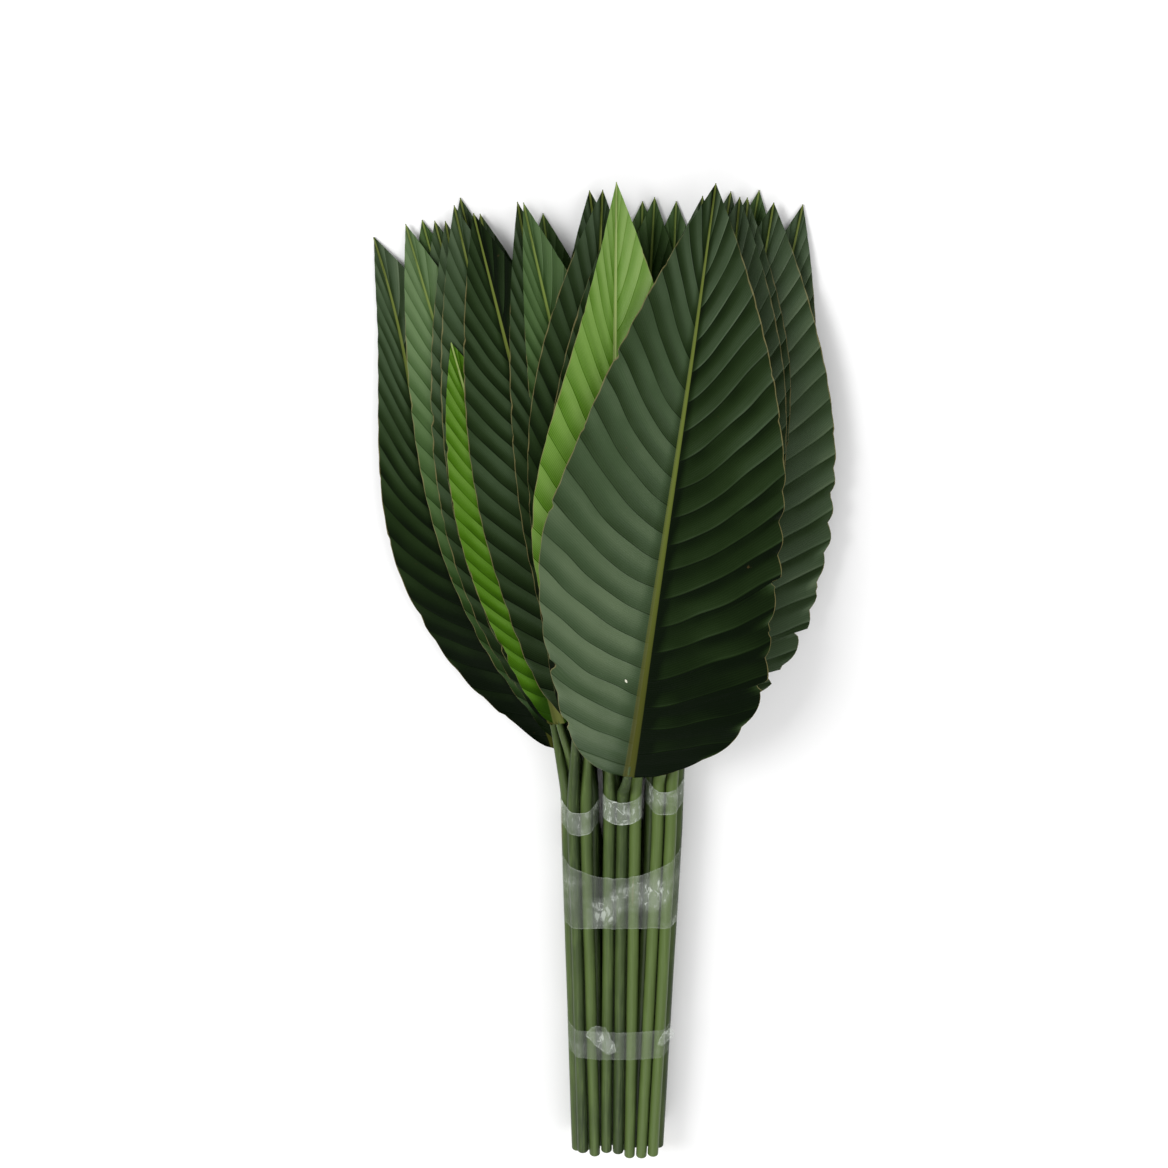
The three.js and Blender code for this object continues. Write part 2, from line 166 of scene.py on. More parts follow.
# A smooth curve through heights that never overshoots them, so that a leaf stays off its neighbours.
def through(xs, ys, at):
    xs, ys = np.asarray(xs, float), np.asarray(ys, float)
    step = np.diff(xs)
    rise = np.diff(ys) / step
    slope = np.zeros_like(ys)
    slope[0], slope[-1] = rise[0], rise[-1]
    same = rise[:-1] * rise[1:] > 0
    weight = (2 * step[1:] + step[:-1], step[1:] + 2 * step[:-1])
    safe = np.where(same, rise[:-1], 1), np.where(same, rise[1:], 1)
    inner = (weight[0] + weight[1]) / (weight[0] / safe[0] + weight[1] / safe[1])
    slope[1:-1] = np.where(same, inner, 0)
    i = np.clip(np.searchsorted(xs, at) - 1, 0, len(xs) - 2)
    t = np.clip((at - xs[i]) / step[i], 0, 1)
    h = step[i]
    return (
        (2 * t**3 - 3 * t**2 + 1) * ys[i]
        + (t**3 - 2 * t**2 + t) * h * slope[i]
        + (3 * t**2 - 2 * t**3) * ys[i + 1]
        + (t**3 - t**2) * h * slope[i + 1]
    )


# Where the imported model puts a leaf's controls: five heights across each of its seventeen rings, less
# the model's own coarse ripple, and the height of the stalk where it climbs to the blade.
def read_heights(leaf, number):
    base, tip, halves = leaf[2:5]
    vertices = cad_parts["leaf_%02d" % (number + 1)].data.vertices
    tree = KDTree(len(vertices))
    for vertex in vertices:
        x, y, _ = vertex.co
        tree.insert((x, y, 0), vertex.index)
    tree.balance()

    def top_at(x, y):
        spot = Vector((x, y, 0)) / 1000 + SHIFT
        found = tree.find_range((spot.x, spot.y, 0), 0.0004) or [tree.find((spot.x, spot.y, 0))]
        return max(vertices[index].co.z for _, index, _ in found) * 1000

    t = np.arange(BLADE_RINGS) / (BLADE_RINGS - 1)
    stations = RING_CROWDING * t**3 + (1 - RING_CROWDING) * t
    edge_wave = 0.5 + 1.7 * number / (len(LEAVES) - 1)
    grid = np.zeros((BLADE_RINGS, 5))
    for i, s in enumerate(stations):
        edge = min(s + float(model_sweep(s)), 1)
        least = 1.2 + STEM_RADIUS * math.exp(-s * 60)
        sign = 1 if i % 2 else -1
        for column, (side, share) in enumerate(((-1, 1), (-1, MIDWAY), (0, 0), (1, MIDWAY), (1, 1))):
            which = 0 if side < 0 else 1
            half = max(halves[which] * float(outline(np.array(edge))), least)
            wave = sign * (edge_wave if share == 1 else 0.4 if share else 0) * min(1, half / 40)
            for end in (side,) if side else (-1, 1):
                reach = share * half * (1 + 0.02 * sign * (share == 1)) if side else float(rib_half(s))
                y = base + (s + float(model_sweep(s)) * share**1.5) * (tip[1] - base)
                slope = float(rib_x(leaf, np.array(y + 1.0)) - rib_x(leaf, np.array(y - 1.0))) / 2
                turn = 1 / math.hypot(1, slope)
                x = float(rib_x(leaf, np.array(y))) + end * reach * turn
                z = top_at(x, y - end * reach * slope * turn)
                grid[i, column] += (z - wave) / (1 if side else 2)
    start = free_from(leaf)
    neck = [(start + base) / 2, base - 6]
    heights = []
    for y in neck:
        radius = STEM_RADIUS + (NECK_RADIUS - STEM_RADIUS) * float(ease(np.array(y), start, base))
        x = float(rib_x(leaf, np.array(y))) + radius * math.cos(math.radians(75))
        heights.append(top_at(x, y))
    return stations, grid, neck, heights


# How light each half of a leaf is painted at its base and near its tip: painted shade where most lie in the
# shade lower down, and a pale painted sheen on a few light halves.
SHADES = ((0.0, 1.05), (-0.15, 0.95))
OWN_SHADES = {
    7: ((0.3, 0.9), (0.2, 0.9)),
    8: ((-0.45, 1.05), (-0.35, 1.0)),
    14: ((0.1, 0.6), (0.6, 0.8)),
    15: ((0.1, 1.6), (0.0, 1.4)),
    19: ((0.15, 0.5), (0.1, 0.4)),
    20: ((0.15, 0.4), (-0.4, 0.1)),
    21: ((-0.2, 0.7), (-0.25, 0.5)),
    22: ((0.0, 1.1), (-0.1, 1.0)),
    23: ((-0.25, 0.5), (-0.3, 0.5)),
    25: ((-0.3, 0.6), (-0.3, 0.5)),
    26: ((-0.25, 0.7), (-0.2, 0.7)),
    28: ((0.6, 1.15), (0.6, 1.2)),
    30: ((1.2, 0.35), (-0.25, 0.65)),
}
# The leaves on the left lean on edge, so their outer halves are narrower towards the base: by what
# share, how far along the blade this fades, and how suddenly.
LEAN = {
    8: (0.65, 0.25, 1.3),
    13: (0.6, 0.25, 1.3),
    15: (0.6, 0.25, 1.3),
    16: (0.6, 0.25, 1.3),
    17: (0.4, 0.25, 1.3),
    19: (0.60, 0.75, 1.2),
    20: (0.22, 0.7, 1.5),
    23: (0.6, 0.55, 2.2),
    25: (0.6, 0.55, 2.2),
    26: (0.4, 0.55, 2.2),
    28: (0.6, 0.27, 2.0),
}
# The bright leaf behind the front one curls its left half in towards the tip, and the right halves of
# three leaves there curl in under it. The front leaf and one beside it are the worn ones.
CURLED_LEAF, FRONT_LEAF = 28, 30
TUCK = {18: 0.25, 27: 0.17, 29: 0.09}
WORN, WEAR = (14, 30), 1.7

# A blade has so many side veins on each half, with the right half's a little further on. Its thickness, and
# how near the ground it may come.
VEINS, VEIN_SHIFT, THICKNESS, BLADE_CLEAR = 21, 0.45, 0.5, 0.8


# One leaf's blade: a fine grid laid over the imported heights, pleated along its side veins, waved and
# nicked at the margin, and given the thickness of a real blade.
def blade_mesh(leaf, number, stations, grid, columns, rows):
    base, tip, halves = leaf[2:5]
    length = tip[1] - base
    front = number + 1 == FRONT_LEAF
    bm = bmesh.new()
    bmesh.ops.create_grid(bm, x_segments=2 * columns, y_segments=rows, size=1)
    a = np.array([vertex.co.x for vertex in bm.verts])
    s = np.array([(vertex.co.y + 1) / 2 for vertex in bm.verts])
    s = 0.25 * s * s * (3 - 2 * s) + 0.75 * s
    side = np.where(a < 0, -1.0, 1.0)
    sweep = 0.42 * np.power(s, 0.8) * np.power(1 - s, 0.7)
    far = np.clip(s + sweep, 0, 1)
    widest = np.where(a < 0, halves[0], halves[1])
    rim = np.maximum(widest * outline(far), 0.5 + 5.0 * np.exp(-s * 60))

    # the margin: a slow wave, small scallops where the side veins end, and a few torn nicks
    veins = s * VEINS + VEIN_SHIFT * (a > 0)
    seed = number * 7.31
    slow = np.array([noise.noise(Vector((seed + 3 * k, p * 7.0, 0))) for k, p in zip(side, s)])
    quick = np.array([noise.noise(Vector((seed + 3 * k, p * 42.0, 4.0))) for k, p in zip(side, s)])
    scallop = np.abs(np.sin(np.pi * veins))
    wide = np.clip(rim / 40, 0, 1)
    rough = np.where(side > 0, 1 - 0.85 * ease(far, 0.48, 0.62), 0.7 - 0.5 * ease(far, 0.2, 0.4))
    nick = np.clip(quick - 0.3, 0, 1) * 22 * rough
    worn = WEAR if number + 1 in WORN else 1
    half = rim - worn * wide * (2.6 * (1 - scallop) * rough + 2.0 * rough * np.abs(slow) + nick)

    # halves that lean, curl or tuck in are narrower, and the front leaf has a waist and two lobes
    if number + 1 in LEAN:
        most, fade, power = LEAN[number + 1]
        half = np.where(side < 0, half * (1 - most * np.exp(-np.power(far / fade, power))), half)
    if number + 1 == CURLED_LEAF:
        half = np.where(side < 0, half * (1 - 0.45 * ease(far, 0.38, 1.0)), half)
    if number + 1 in TUCK:
        half = np.where(side > 0, half * (1 - TUCK[number + 1] * np.exp(-np.power(far / 0.66, 6))), half)
    if front:
        lobe = 1 + 0.10 * bump_at(far, 0.17, 0.09) + 0.08 * bump_at(far, 0.07, 0.05)
        waist = 1 - 0.16 * np.exp(-np.power(far / 0.24, 4)) + 0.09 * bump_at(far, 0.43, 0.13)
        half = half * np.where(side < 0, waist, lobe)
    half = np.maximum(half, 0.5)
    half = np.maximum(half - side * bow(leaf, base + s * length) * 0.9, 0.5)

    # where each point lies: the midrib strip first, then the half blade, then the thin margin
    ribs = rib_half(s)
    inner, outer, brim = 0.22, 1 - 1 / columns, 1.3
    b = np.abs(a)
    body = ribs + (half - brim - ribs) * np.clip((b - inner) / (outer - inner), 0, 1)
    body = np.where(b <= outer, body, half - brim * (1 - b) * columns)
    reach = np.where(b <= inner, ribs * b / inner, body)
    reach = np.minimum(np.maximum(reach, 0), half)
    share = reach / np.maximum(half, 0.01)
    along = np.clip(s + sweep * np.power(share, 1.35), 0, 1)
    y = base + along * length
    slope = (rib_x(leaf, y + 1) + bow(leaf, y + 1) - rib_x(leaf, y - 1) - bow(leaf, y - 1)) / 2
    turn = 1 / np.hypot(1, slope)
    x = rib_x(leaf, y) + bow(leaf, y) + side * reach * turn
    y_out = y - side * reach * slope * turn

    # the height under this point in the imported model's own rings
    ring = along.copy()
    for _ in range(12):
        ring = np.clip(along - model_sweep(ring) * np.power(share, 1.5), 0, 1)
    level = [through(stations, grid[:, column], ring) for column in range(5)]
    middle, quarter = level[2], np.where(a < 0, level[1], level[3])
    edge = np.where(a < 0, level[0], level[4])
    knot = ribs / np.maximum(half, 0.01)
    p = np.clip((share - knot) / np.maximum(1 - knot, 0.01), 0, 1)
    m = np.clip((MIDWAY - knot) / np.maximum(1 - knot, 0.01), 0.2, 0.8)
    inside = middle + (quarter - middle) * p / m
    outside = quarter + (edge - quarter) * (p - m) / (1 - m)
    bent = middle * (1 - p) * (m - p) / m + quarter * p * (1 - p) / (m * (1 - m))
    bent = bent + edge * p * (p - m) / (1 - m)
    z = 0.5 * np.where(p < m, inside, outside) + 0.5 * bent

    # pleats along the side veins, a wave at the margin, and a shallow channel over the midrib
    pleat = (np.abs(np.sin(np.pi * veins)) - 0.6) * 1.1 * wide * np.clip(p * 6, 0, 1) * (1 - 0.3 * p)
    ripple = 2.2 * slow * rough + 1.8 * rough * np.sin(2 * np.pi * veins + 3 * slow) + 1.0
    ripple = ripple * wide * np.power(p, 4)
    channel = np.where(b < inner, -0.9 * ribs / RIB_HALF_WIDTH * (1 - (b / inner) ** 2), 0)
    strength = 1.0 if front else 0.7
    z = z + (pleat + ripple) * strength + channel

    uv = bm.loops.layers.uv.new("veins")
    layers = {key: bm.verts.layers.float.new(key) for key in ("rib", "margin", "painted_light_and_tone")}
    shades = np.array(OWN_SHADES.get(number + 1, SHADES))[np.where(side < 0, 0, 1)]
    painted_lights = shades[:, 0] + (shades[:, 1] - shades[:, 0]) * np.power(along, 1.6)
    # painted shade: every blade is darker at its very base, low among the others
    painted_lights = painted_lights - 0.5 * np.exp(-along / 0.035)

    # where the margin curls up a highlight is painted on, as if it caught the light
    painted_lights = painted_lights + 1.3 * rough * np.clip(ripple - 1.2, 0, 2.5) / 2.5 * np.power(share, 10)
    points = zip(bm.verts, x, y_out, z, reach, half, ribs, painted_lights)
    for vertex, vx, vy, vz, reached, width, stem, light in points:
        vertex.co = Vector((vx, vy, max(vz, BLADE_CLEAR))) / 1000 + SHIFT
        vertex[layers["rib"]] = reached / max(stem, 0.3)
        vertex[layers["margin"]] = width - reached + 4.0 * math.exp(-width / 12)
        vertex[layers["painted_light_and_tone"]] = light
    bm.verts.ensure_lookup_table()
    for face in bm.faces:
        for loop in face.loops:
            i = loop.vert.index
            loop[uv].uv = (0.5 + 0.5 * side[i] * share[i], s[i])
    made = bmesh.ops.extrude_face_region(bm, geom=list(bm.faces))["geom"]
    lower = {part for part in made if isinstance(part, bmesh.types.BMVert)}
    bmesh.ops.translate(bm, verts=list(lower), vec=(0, 0, -THICKNESS / 1000))
    bmesh.ops.recalc_face_normals(bm, faces=bm.faces)
    for face in bm.faces:
        if 0 < sum(vertex in lower for vertex in face.verts) < len(face.verts):
            for edge in face.edges:
                edge.smooth = False
    return bm


# Its stalk: a round rod from the cut end, bent up to the blade and thinned under it as the midrib. No
# two ends are cut to quite the same length.
def stalk_mesh(leaf, number, stations, grid, neck, heights, around, steps):
    row, place, base, tip = leaf[:4]
    length = tip[1] - base
    cut = 9 * (0.5 + 0.5 * math.sin(number * 2.4))
    start = free_from(leaf)
    level = stem_z(row) + STEM_RADIUS * FLAT_TOP
    path = [(cut, level), (HAND_START, level), (start, level)]
    path += list(zip(neck, heights)) + [(base + s * length, z) for s, z in zip(stations, grid[:, 2])]
    bm = bmesh.new()
    bmesh.ops.create_cone(bm, cap_ends=True, segments=around, radius1=1, radius2=1, depth=2)
    rails = [edge for edge in bm.edges if abs(edge.verts[0].co.z - edge.verts[1].co.z) > 1]
    bmesh.ops.subdivide_edges(bm, edges=rails, cuts=steps, use_grid_fill=True)
    u = np.array([(vertex.co.z + 1) / 2 for vertex in bm.verts])
    bend, end = start - 60, tip[1] - 2
    y = np.where(u < 0.35, cut + (bend - cut) * u / 0.35, bend + (end - bend) * (u - 0.35) / 0.65)
    top = through([p[0] for p in path], [p[1] for p in path], y)
    s = np.clip((y - base) / length, 0, 1)
    blend_in = ease(y, base - 8, base + 4)
    radius = STEM_RADIUS + (NECK_RADIUS - STEM_RADIUS) * ease(y, start, base)
    wobble = 1 + 0.035 * np.array([noise.noise(Vector((number * 3.7, v * 0.012, 0))) for v in y])
    radius = radius * np.where(wobble > 1, 1, wobble)
    depth = RIB_DEPTH + (RIB_TIP_DEPTH - RIB_DEPTH) * np.power(s, 0.35)
    across = radius * (1 - blend_in) + rib_half(s) * 0.95 * blend_in
    down = radius * (1 - blend_in) + (depth / 2) * blend_in
    drop = radius * FLAT_TOP * (1 - blend_in) + (depth / 2 + 1.1) * blend_in
    painted_light_and_tone = bm.verts.layers.float.new("painted_light_and_tone")

    # no stalk is quite straight, and two of the lowest bow into the gaps between the hands
    sway = 0.5 * np.array([noise.noise(Vector((number * 5.1, v * 0.009, 3))) for v in y])
    if row == 0 and place in (2, 5):
        sway = sway + (4.2 if place == 2 else -4.2) * ease(y, 30, 110) * (1 - ease(y, 420, 460))
    for vertex, vy, vz, wide, deep, fall, off in zip(bm.verts, y, top, across, down, drop, sway):
        x = float(rib_x(leaf, np.array(vy)) + bow(leaf, np.array(vy))) + off + wide * vertex.co.x
        face_on = vertex.co.x
        vertex.co = Vector((x, vy, max(vz - fall + deep * vertex.co.y, STEM_CLEAR))) / 1000 + SHIFT
        # painted light and shade: each stalk has its own tone, the lower rows are painted darker where they
        # lie in shade, and each stalk is lightest along its middle and darker on its flanks, the right one
        # most
        row_shade_and_tone = (number * 0.381966) % 1 * (0.25, 0.25, 0.5, 1)[row]
        vertex[painted_light_and_tone] = row_shade_and_tone - 0.25 * face_on - 0.45 * face_on**4
    for face in bm.faces:
        end_face = len(face.verts) > 4
        face.material_index = 2 if end_face and face.calc_center_median().y < SHIFT.y + 0.02 else 1
        face.smooth = not end_face
    return bm


# A new material, a new node with its inputs filled in, and the few steps that the surfaces are made of.
def new_material(name):
    material = bpy.data.materials.new(name)
    material.use_nodes = True
    tree = material.node_tree
    return material, tree, tree.nodes["Principled BSDF"]


def node(tree, kind, inputs=(), **settings):
    made = tree.nodes.new(kind)
    for key, value in settings.items():
        setattr(made, key, value)
    for key, value in dict(inputs).items():
        if isinstance(value, bpy.types.NodeSocket):
            tree.links.new(value, made.inputs[key])
        else:
            made.inputs[key].default_value = value
    return made


def maths(tree, operation, a, b=0.0):
    return node(tree, "ShaderNodeMath", {0: a, 1: b}, operation=operation).outputs[0]


def plus(tree, a, b):
    return maths(tree, "ADD", a, b)


def minus(tree, a, b):
    return maths(tree, "SUBTRACT", a, b)


def times(tree, a, b):
    return maths(tree, "MULTIPLY", a, b)


def attribute(tree, name):
    return node(tree, "ShaderNodeAttribute", attribute_name=name).outputs["Fac"]


def object_place(tree):
    return node(tree, "ShaderNodeTexCoord").outputs["Object"]


def remap(tree, value, low, high, to_low=0.0, to_high=1.0):
    inputs = {"Value": value, "From Min": low, "From Max": high, "To Min": to_low, "To Max": to_high}
    return node(tree, "ShaderNodeMapRange", inputs, interpolation_type="SMOOTHSTEP").outputs["Result"]


def blend(tree, share, first, second):
    made = node(tree, "ShaderNodeMix", data_type="RGBA")
    for socket, value in ((made.inputs[0], share), (made.inputs[6], first), (made.inputs[7], second)):
        if isinstance(value, bpy.types.NodeSocket):
            tree.links.new(value, socket)
        else:
            socket.default_value = value
    return made.outputs[2]


def noise_of(tree, vector, scale, detail=2.0, roughness=0.5):
    inputs = {"Vector": vector, "Scale": scale, "Detail": detail, "Roughness": roughness}
    return node(tree, "ShaderNodeTexNoise", inputs).outputs["Fac"]


def ramp(tree, value, colors):
    made = node(tree, "ShaderNodeValToRGB", {"Fac": value})
    elements = made.color_ramp.elements
    for end, color in enumerate((colors[0], colors[-1])):
        elements[end].position, elements[end].color = end, color + (1.0,)
    for k, color in enumerate(colors[1:-1]):
        elements.new((k + 1) / (len(colors) - 1)).color = color + (1.0,)
    return made.outputs["Color"]


# The surface of a blade. The mesh carries where each point is: across and along the blade, how many half
# widths of the midrib it is from its middle, its distance from the margin, and the painted light and shade
# of the leaf there.
def leaf_material(name, greens, rib, spots, contrast, lines):
    material, tree, shader = new_material(name)
    uv = node(tree, "ShaderNodeSeparateXYZ", {0: node(tree, "ShaderNodeUVMap", uv_map="veins").outputs[0]})
    side, along = uv.outputs[0], uv.outputs[1]
    ribs, margin, painted_light_and_tone = (attribute(tree, name) for name in ("rib", "margin", "painted_light_and_tone"))
    ribs = maths(tree, "DIVIDE", ribs, remap(tree, along, 0.0, 0.8, 1.12, 1.0))
    place = object_place(tree)
    patch = noise_of(tree, place, 9.0, 3.0)
    grain = noise_of(tree, place, 260.0, 3.0)

    # side veins, about thirty millimetres apart, and the fine lines between them
    wander = times(tree, minus(tree, noise_of(tree, place, 14.0, 1.0), 0.5), 0.4)
    right = maths(tree, "GREATER_THAN", side, 0.5)
    count = plus(tree, times(tree, along, float(VEINS)), wander)
    count = plus(tree, count, times(tree, right, VEIN_SHIFT))
    phase = maths(tree, "FRACT", count)
    groove = remap(tree, maths(tree, "ABSOLUTE", minus(tree, phase, 0.5)), 0.045, 0.0)
    fine = maths(tree, "SINE", times(tree, count, 2 * math.pi * 13))
    finer = maths(tree, "SINE", times(tree, count, 2 * math.pi * 31))

    # each pleat is painted with shade, from dark to light as if lit from the upper left: towards the next
    # vein on the left half, away from it on the right
    climb = maths(tree, "FRACT", plus(tree, phase, 0.5))
    rising = remap(tree, climb, 0.0, 0.75)
    falling = minus(tree, 1.0, remap(tree, climb, 0.12, 0.95))
    falling = plus(tree, falling, times(tree, remap(tree, climb, 0.14, 0.05), 0.45))
    pleat = plus(tree, times(tree, rising, minus(tree, 1.0, right)), times(tree, falling, right))

    # the painted pleat shade shows less by the midrib, in patches, and where the leaf lies in painted shade
    uneven = remap(tree, noise_of(tree, place, 17.0), 0.3, 0.7, 0.5, 1.3)
    calm = times(tree, remap(tree, ribs, 1.2, 5.0, 0.45, 1.0), uneven)
    calm = times(tree, calm, remap(tree, painted_light_and_tone, -0.4, 0.4, 0.45, 1.0))
    green = plus(tree, painted_light_and_tone, times(tree, times(tree, minus(tree, pleat, 0.6), contrast), calm))
    green = plus(tree, green, times(tree, minus(tree, patch, 0.5), 0.7))
    green = plus(tree, green, times(tree, fine, lines))
    # painted shade in the creases of the side veins and in the channel beside the midrib
    green = minus(tree, green, times(tree, groove, 0.28))
    green = minus(tree, green, times(tree, remap(tree, ribs, 6.0, 1.2), 0.45))
    color = ramp(tree, maths(tree, "DIVIDE", plus(tree, green, 0.3), 1.8), greens)
    fleck = remap(tree, noise_of(tree, place, 75.0, 2.0), 0.76, 0.80)
    color = blend(tree, times(tree, fleck, spots), color, (0.07, 0.045, 0.015, 1.0))

    # the midrib, brownish at the base and pale towards the tip, with painted shade along its sides, and the
    # thin dry line along the margin
    base_rib = tuple(c * k for c, k in zip(rib, (0.50, 0.42, 0.35))) + (1.0,)
    rib_color = blend(tree, remap(tree, along, 0.05, 0.7), base_rib, rib + (1.0,))
    rib_side_shade = remap(tree, ribs, 0.2, 1.1, 1.0, 0.72)
    rib_color = blend(tree, rib_side_shade, (0.02, 0.03, 0.005, 1.0), rib_color)
    on_rib = remap(tree, ribs, 1.35, 1.05)
    color = blend(tree, on_rib, color, rib_color)
    ragged = plus(tree, margin, times(tree, minus(tree, noise_of(tree, place, 60.0), 0.5), 1.6))
    dry = times(tree, remap(tree, ragged, 0.8, 0.3), 0.6)
    color = blend(tree, dry, color, (0.20, 0.17, 0.07, 1.0))
    tree.links.new(color, shader.inputs["Base Color"])

    # the sheen is on the light halves only, and light catches the pleats and veins
    tree.links.new(remap(tree, green, -0.2, 1.4, 0.03, 0.30), shader.inputs["Specular IOR Level"])
    tree.links.new(remap(tree, plus(tree, patch, grain), 0.6, 1.4, 0.36, 0.5), shader.inputs["Roughness"])
    relief = plus(tree, times(tree, groove, -0.55), times(tree, pleat, 0.5))
    relief = plus(tree, relief, times(tree, fine, 0.08))
    relief = plus(tree, relief, times(tree, finer, 0.03))
    relief = plus(tree, relief, times(tree, grain, 0.10))
    relief = times(tree, relief, minus(tree, 1.0, on_rib))
    bump = node(tree, "ShaderNodeBump", {"Strength": 0.65, "Distance": 0.0009, "Height": relief})
    tree.links.new(bump.outputs[0], shader.inputs["Normal"])
    return material


# The surface of a stalk: smooth, green, streaked lengthwise and a little waxy, with a few scars and pale,
# open-celled cut ends.
def stalk_material(name, deep, light):
    material, tree, shader = new_material(name)
    place = object_place(tree)
    painted_light_and_tone = attribute(tree, "painted_light_and_tone")
    stretched = node(tree, "ShaderNodeMapping", {"Vector": place, "Scale": (1.0, 0.045, 1.0)}).outputs[0]
    streak = noise_of(tree, stretched, 420.0, 4.0, 0.6)
    patch = noise_of(tree, place, 11.0, 3.0)
    # painted light and shade: the mesh's painted light, with random patches, takes the green from deep to
    # light
    shade = remap(tree, plus(tree, times(tree, patch, 0.7), times(tree, painted_light_and_tone, 0.7)), 0.15, 1.0)
    color = blend(tree, shade, deep, light)
    pale = tuple(min(1.0, 1.5 * c + 0.02) for c in light[:3]) + (1.0,)
    color = blend(tree, times(tree, remap(tree, streak, 0.45, 0.75), 0.35), color, pale)
    scar = noise_of(tree, stretched, 150.0, 1.0)
    color = blend(tree, times(tree, remap(tree, scar, 0.72, 0.78), 0.35), color, (0.16, 0.13, 0.05, 1.0))
    tree.links.new(color, shader.inputs["Base Color"])
    tree.links.new(remap(tree, streak, 0.2, 0.8, 0.38, 0.52), shader.inputs["Roughness"])
    shader.inputs["Specular IOR Level"].default_value = 0.22
    bump = node(tree, "ShaderNodeBump", {"Strength": 0.35, "Distance": 0.0004, "Height": streak})
    tree.links.new(bump.outputs[0], shader.inputs["Normal"])
    return material


def cut_material():
    material, tree, shader = new_material("cut_end")
    place = object_place(tree)
    cells = node(tree, "ShaderNodeTexVoronoi", {"Vector": place, "Scale": 900.0}).outputs["Distance"]
    color = blend(tree, remap(tree, cells, 0.1, 0.6), (0.30, 0.34, 0.13, 1.0), (0.62, 0.66, 0.38, 1.0))
    color = blend(tree, remap(tree, noise_of(tree, place, 220.0), 0.5, 0.8), color, (0.35, 0.25, 0.10, 1.0))
    tree.links.new(color, shader.inputs["Base Color"])
    shader.inputs["Roughness"].default_value = 0.6
    bump = node(tree, "ShaderNodeBump", {"Strength": 0.5, "Distance": 0.0004, "Height": cells})
    tree.links.new(bump.outputs[0], shader.inputs["Normal"])
    return material


# Each finish has four greens that paint its light and shade, from deep shade to a pale sheen, the midrib's
# colour, and how strong its brown spots, its painted pleat shade and the fine lines between its veins are.
FINISHES = {
    "leaf_dark": (
        ((0.002, 0.005, 0.0012), (0.01, 0.0235, 0.0038), (0.028, 0.054, 0.018), (0.07, 0.106, 0.048)),
        (0.11, 0.14, 0.026),
        (0.5, 0.62, 0.05),
    ),
    "leaf_mid": (
        ((0.003, 0.008, 0.0012), (0.013, 0.036, 0.004), (0.04, 0.085, 0.018), (0.09, 0.15, 0.055)),
        (0.13, 0.18, 0.035),
        (0.6, 0.48, 0.05),
    ),
    "leaf_bright": (
        ((0.012, 0.04, 0.0004), (0.045, 0.125, 0.0004), (0.105, 0.21, 0.023), (0.17, 0.275, 0.06)),
        (0.23, 0.31, 0.09),
        (0.4, 0.6, 0.16),
    ),
}
BLADES = {
    name: leaf_material(name, greens, rib, *strengths) for name, (greens, rib, strengths) in FINISHES.items()
}
STALK = stalk_material("stalk", (0.013, 0.026, 0.005, 1), (0.077, 0.120, 0.027, 1))
CUT = cut_material()


# Each leaf is its blade and its stalk in one mesh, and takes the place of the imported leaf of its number.
for number, leaf in enumerate(LEAVES):
    name = "leaf_%02d" % (number + 1)
    front = number + 1 == FRONT_LEAF
    stations, grid, neck, heights = read_heights(leaf, number)
    fine = 1
    columns, rows = (28, 300) if front else (15, 130)
    blade = blade_mesh(leaf, number, stations, grid, round(columns * fine), round(rows * fine))
    stalk = stalk_mesh(leaf, number, stations, grid, neck, heights, 20, round(110 * fine))
    mesh = bpy.data.meshes.new(name + "_grown")
    for face in blade.faces:
        face.smooth = True
    blade.to_mesh(mesh)
    rod = bpy.data.meshes.new(name + "_rod")
    stalk.to_mesh(rod)
    joined = bmesh.new()
    joined.from_mesh(mesh)
    joined.from_mesh(rod)
    joined.to_mesh(mesh)
    bpy.data.meshes.remove(rod)
    for made in (blade, stalk, joined):
        made.free()
    for material in (BLADES[leaf[5]], STALK, CUT):
        mesh.materials.append(material)
    grown = bpy.data.objects.new("grown_" + name, mesh)
    bpy.context.collection.objects.link(grown)
    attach(grown, "root")
    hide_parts(name)


# The flake: a small pale speck of dry skin, a few millimetres long and thin as paper. It lies loose on the
# front leaf, low on its left half.
FLAKE_PLACE, FLAKE_RADIUS = (-1, 673, 0), 0.0022
blade = bpy.data.objects["grown_leaf_%02d" % FRONT_LEAF].data
spot = Vector(FLAKE_PLACE) / 1000 + SHIFT


def apart(vertex):
    return (vertex.co.x - spot.x) ** 2 + (vertex.co.y - spot.y) ** 2 - vertex.co.z * 1e-4


nearest = min(blade.vertices, key=apart)
bm = bmesh.new()
bmesh.ops.create_circle(bm, segments=9, radius=FLAKE_RADIUS, cap_ends=True)
for vertex in bm.verts:
    vertex.co.x *= 0.45 + 0.3 * noise.noise(vertex.co * 900)
bmesh.ops.rotate(bm, verts=bm.verts, matrix=Matrix.Rotation(0.5, 3, "Z"))
bmesh.ops.translate(bm, verts=bm.verts, vec=nearest.co + Vector((0, 0, 0.0004)))
mesh = bpy.data.meshes.new("flake")
bm.to_mesh(mesh)
bm.free()
paper, _, shader = new_material("flake")
shader.inputs["Base Color"].default_value = (0.62, 0.62, 0.50, 1.0)
mesh.materials.append(paper)
flake = bpy.data.objects.new("flake", mesh)
bpy.context.collection.objects.link(flake)
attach(flake, "root")


